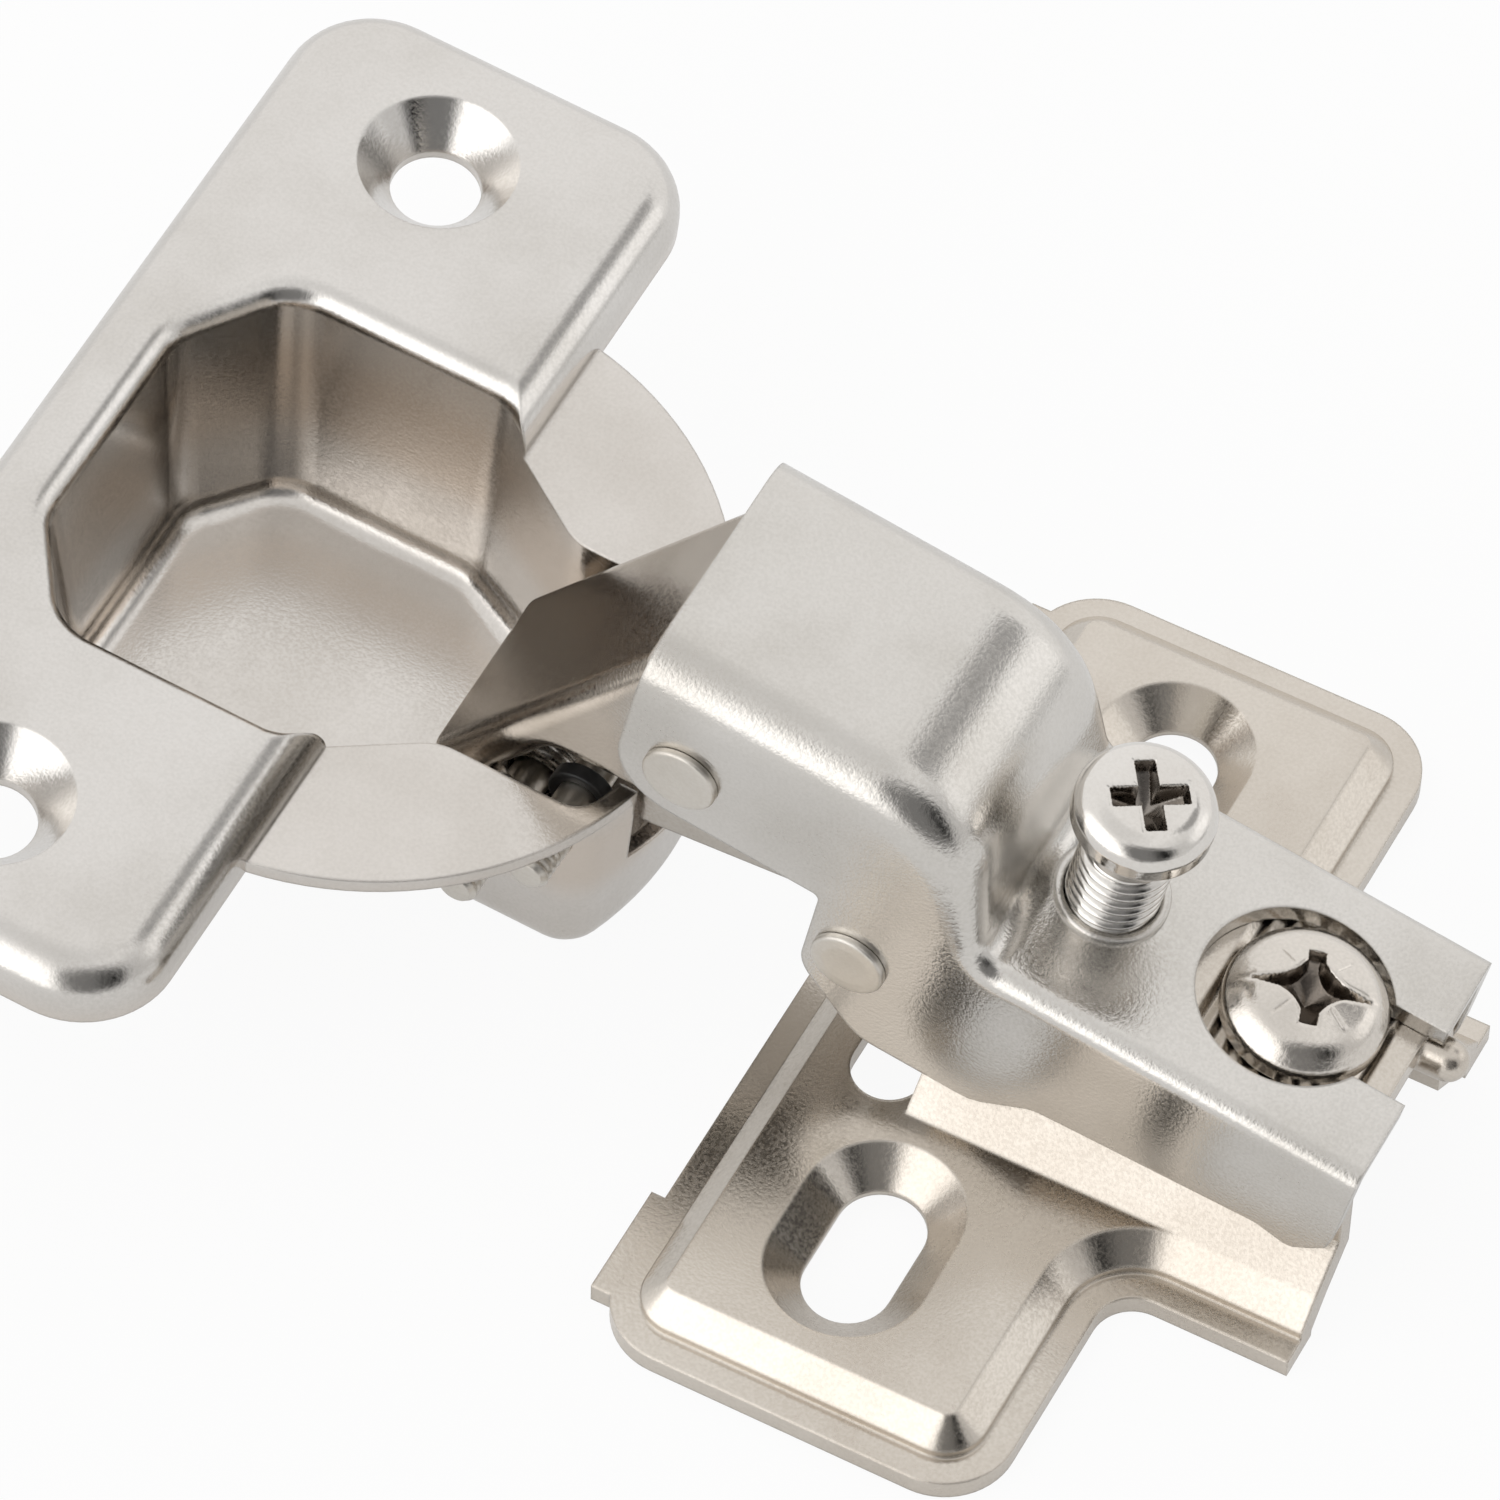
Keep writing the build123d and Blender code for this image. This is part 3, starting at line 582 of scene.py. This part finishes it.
def cross_depth(grid, outline, depth):
    """Depth of a pressed cross: steep walls inside the outline, a floor that falls to the middle, and a
    narrow bevel round the outline."""
    r = np.hypot(grid[..., 0], grid[..., 1])
    floor = depth * (1 - 0.7 * np.clip(r / 2.2, 0, 1.2))
    return step_in(outline + 0.08, 0.16) * floor + step_in(outline - 0.1, 0.22) * 0.06


def tick_depth(grid, turn, inner, outer, depth):
    """Depth of four fine lines between the bars, from inner to outer along the diagonals."""
    u, v = turned_flat(grid, turn + 45)
    r = np.hypot(u, v)
    line = np.minimum(u, v) - 0.05
    return step_in(line, 0.10) * step_in(inner - r, 0.3) * step_in(r - outer, 0.5) * depth


# %% Adjusting screw
profile = rounded_line([
    ((0, 9.5), 0), ((2.3, 9.47), 1.5), ((3.25, 9.1), 1.4), ((3.6, 8.3), 0.7), ((3.6, 7.3), 0.25),
    ((3.1, 6.95), 0.3), ((2.35, 6.6), 0.3), ((2.3, 4.9), 0.3), ((2.42, 4.7), 0.1), ((2.42, -2.4), 0.1),
    ((1.7, -3.0), 0.1), ((0, -3.0), 0)])
grid = turned(filled(profile, 0.05), 160)
grid = threaded(grid, -2.5, 4.9, 0.68, 2.02, 2.42)
cross_turn, cross_reach, cross_half_width = 36, 1.98, 0.54
outline = bars(grid, cross_turn, cross_reach, cross_half_width)
pressed = np.where(grid[..., 2] > 9.0, cross_depth(grid, outline, 2.0), 0)
grid[..., 2] -= pressed
grid_piece("adjusting_screw_turned", placed(grid, arm_frame), screw_nickel,
           "adjusting_screw", ["adjusting_screw"], "screw_nickel", pressed=pressed)

# %% Fixing screw
profile = rounded_line([
    ((0, 3.0), 0), ((1.4, 2.96), 3.0), ((3.3, 2.45), 2.0), ((4.2, 1.35), 0.9), ((4.2, 0.25), 0.25),
    ((3.95, 0.0), 0.1), ((2.85, 0.0), 0.15), ((2.85, -6.4), 0.1), ((2.1, -7.0), 0.1), ((0, -7.0), 0)])
grid = turned(filled(profile, 0.06), 168)
grid = threaded(grid, -6.6, -0.4, 1.0, 2.4, 2.85)
star_turn = 19.5
outline = star(grid, star_turn, point_reach=3.2, point_half=0.7, bar_reach=2.1, bar_half=0.45)
pressed = cross_depth(grid, outline, 2.2) + tick_depth(grid, star_turn, 1.5, 2.6, 0.06)
pressed = np.where(grid[..., 2] > 1.5, pressed, 0)
grid[..., 2] -= pressed
seat_x, seat_z = 10.9, -1.25
fixing_frame = arm_frame.copy()
fixing_frame[3] += seat_x * arm_frame[0] + seat_z * arm_frame[2]
grid_piece("fixing_screw_turned", placed(grid, fixing_frame), satin_nickel,
           "fixing_screw", ["fixing_screw"], "screw_nickel", pressed=pressed)

# %% [markdown]
# ## Rivets, cup pin and washers
#
# The arm's two pivots are rivets with a low head pressed at each end. The cup's two pivots are
# the legs of one bent wire. The washers are flat rings. A turned profile makes the first and the
# last, and a tube makes the wire; its ends are rolled with fine ridges that hold it in the wall.

# %% Rivets
head = [((0, 8.13), 0), ((1.3, 8.16), 0.8), ((2.0, 8.13), 0.16), ((2.0, 7.72), 0.05), ((1.55, 7.72), 0.05)]
tail = [((r, -z), corner) for (r, z), corner in reversed(head)]
profile = filled(rounded_line(head + tail), 0.12)
for name, x, z in (("front_rivet", -20.5, 2.4), ("rear_rivet", -9.6, -4.9)):
    rivet_frame = across(arm_frame, x, z)
    grid_piece(name + "_pressed", placed(turned(profile, 72), rivet_frame), rivet_steel,
               "arm", [name], "rivet_steel")

# %% Cup pin
outer_pin, inner_pin = (19.7, -8.9), (23.4, -4.7)
leg_end, bend_y, pin_radius = -10.4, 9.3, 1.1
legs = [x * cup_frame[0] + z * cup_frame[2] + cup_frame[3] for x, z in (outer_pin, inner_pin)]
path = [(leg + np.array([0, y, 0]), 1.5) for leg, y in
        ((legs[0], leg_end), (legs[0], bend_y), (legs[1], bend_y), (legs[1], leg_end))]
line = filled(rounded_line(path, 12), 0.1)
plane_normal = np.cross(legs[1] - legs[0], (0, 1, 0))
from_ends = [np.linalg.norm(line - end, axis=1) for end in (line[0], line[-1])]
from_end = np.minimum(*from_ends)
ridges = 0.05 * (1 - np.cos(2 * np.pi * from_end / 0.42)) * (from_end < 2.1)
bevel = 0.3 * np.clip(1 - from_end / 0.3, 0, 1)
radius = (pin_radius - ridges - bevel) * (from_end > 0)
side = np.broadcast_to(plane_normal, line.shape)
grid_piece("cup_pin_bent", tube(line, radius, side, 40), rivet_steel, "cup", ["cup_pin"], "rivet_steel")

# %% Washers
inner, outer, half = 1.1, 1.7, 0.45
profile = rounded_line([((inner, 0), 0), ((inner, half), 0.12), ((outer, half), 0.15),
                        ((outer, -half), 0.15), ((inner, -half), 0.12), ((inner, 0), 0)])[:-1]
for name, y in (("near", -4.5), ("far", 4.5)):
    washer_frame = across(cup_frame, *inner_pin)
    washer_frame[3] += (0, y, 0)
    grid_piece(f"nylon_washer_{name}_moulded", placed(turned(profile, 64), washer_frame), nylon,
               "cup", [f"nylon_washer_{name}"], "nylon", loop=True)

# %% [markdown]
# ## Closing spring
#
# Inside the outer link, a coil sits on the cup's outer pin and snaps the hinge shut. Its line is
# a helix: it goes round the pin as it moves along it, one wire's thickness a turn. Each end of
# the wire is rounded off.

# %% Spring
wire, turns, coil_radius = 1.1, 6, 1.8
angle = np.linspace(0, 2 * np.pi * (turns - 1), 48 * (turns - 1))
spring_frame = across(cup_frame, *outer_pin)
climb = wire * (angle / (2 * np.pi) - (turns - 1) / 2)
coil = np.stack([coil_radius * np.cos(angle), coil_radius * np.sin(angle), climb], axis=-1)
outward = np.stack([np.cos(angle), np.sin(angle), 0 * angle], axis=-1)
from_end = np.minimum(np.arange(len(coil)), np.arange(len(coil))[::-1])
rounding = np.sqrt(1 - (1 - np.minimum(from_end / 4, 1)) ** 2)
grid_piece("closing_spring_coiled", placed(tube(coil, 0.5 * wire * rounding, outward, 20), spring_frame),
           spring_steel, "cup", ["closing_spring"], "spring_steel")

# %% [markdown]
# ## Stamped parts that stay as they are
#
# The cup, the plate and the links are deep-drawn or folded in the solids already, with their
# rounds and drafts. Their meshes are left alone and only get a finish: pale for the cup, with
# painted shade on its bowl's walls, warmer for the plate, and a darker brown for the links, which
# is painted shade of the bowl round them.

# %% Dress the sheet parts
finish_of = {"hinge_cup": cup_nickel, "mounting_plate": plate_nickel,
             "outer_link": link_shaded_steel, "inner_link": link_shaded_steel}
for name, material in finish_of.items():
    solid = frame["nodes"][name]
    solid.data.materials.clear()
    solid.data.materials.append(material)
print("finishes on", len(finish_of), "sheet parts")

# %% [markdown]
# ## Floor and light
#
# The photograph is a cut-out on pure white. A plain floor stands in for that. Most of it is white
# of itself to the camera, and a little under half to reflections, and the rest answers to light,
# which keeps the soft shadow. Metal shows little but what it mirrors, so the light is a white tent
# all round, as a photographer would hang it. Soft darker patches in it, like grey cards, draw the
# dark streaks on the folds, and brighter ones the highlights.

# %% Floor
floor_mesh = bpy.data.meshes.new("floor")
reach, floor_height = 3.0, -0.05 * MM
corners = [(-reach, -reach), (reach, -reach), (reach, reach), (-reach, reach)]
floor_mesh.from_pydata([(x, y, floor_height) for x, y in corners], [], [(0, 1, 2, 3)])
floor = bpy.data.objects.new("floor", floor_mesh)
bpy.context.scene.collection.objects.link(floor)

material, finish = new_finish("white floor")
rays = finish.add("ShaderNodeLightPath", {}, {}, "Is Camera Ray")
glossy = finish.add("ShaderNodeLightPath", {}, {}, "Is Glossy Ray")
clear = finish.add("ShaderNodeLightPath", {}, {}, "Is Transmission Ray")
seen = rays + glossy * 0.45 + clear * 0.9
paper = finish.add("ShaderNodeBsdfDiffuse", {}, {"Color": (0.8, 0.8, 0.8, 1)})
white = finish.add("ShaderNodeEmission", {}, {"Color": (1, 1, 1, 1), "Strength": 1.0})
shown = finish.add("ShaderNodeMixShader", {}, {0: seen.math("MINIMUM", seen, 0.93), 1: paper, 2: white})
finish.add("ShaderNodeOutputMaterial", {}, {"Surface": shown})
floor_mesh.materials.append(material)

# %% World light
world = bpy.data.worlds.new("studio")
bpy.context.scene.world = world
world.use_nodes = True
sky = Finish(world.node_tree)
direction = sky.add("ShaderNodeTexCoord", {}, {}, "Generated")


def patch(towards, half_width, soft):
    """1 in the direction towards, fading to 0 at half_width degrees from it."""
    sockets = {0: direction, 1: Vector(towards).normalized()}
    cosine = sky.add("ShaderNodeVectorMath", {"operation": "DOT_PRODUCT"}, sockets, "Value")
    edge, full = np.cos(np.radians(half_width)), np.cos(np.radians(half_width * (1 - soft)))
    return cosine.between(float(edge), float(full))


# Where each patch lies, its half width in degrees, how soft its edge is, and how much lighter or
# darker than plain white it is.
patches = [
    ((0.60, -0.66, 0.45), 41, 0.50, -0.78),  # grey card in front on the right: dark corners of the folds
    ((0.95, 0.05, 0.25), 50, 1.00, -0.30),  # shade towards the rear of the arm
    ((-0.47, -0.82, 0.30), 44, 0.55, 0.90),  # bright panel in front on the left: light on the long fold
    ((0.0, -0.1, 1.0), 30, 1.00, -0.15),  # a little less light from straight above
    ((0.42, 0.52, 0.74), 15, 0.60, -0.60),  # narrow card above: dark streak on the arm's crest
    ((0.80, 0.48, 0.36), 22, 0.60, 0.40),  # bright band under that streak
    ((0.86, 0.50, 0.00), 12, 0.80, -0.35),  # dark foot of the arm's slope
]
tent = 1.0
for towards, half_width, soft, change in patches:
    tent = tent + patch(towards, half_width, soft) * change
shade = sky.mix(tent.math("MINIMUM", tent, 1.0), (0.0, 0.0, 0.0, 1), (1.0, 0.99, 0.98, 1))
lit = sky.add("ShaderNodeBackground", {}, {"Color": shade, "Strength": tent.math("MAXIMUM", tent, 1.0)})
sky.add("ShaderNodeOutputWorld", {}, {"Surface": lit})
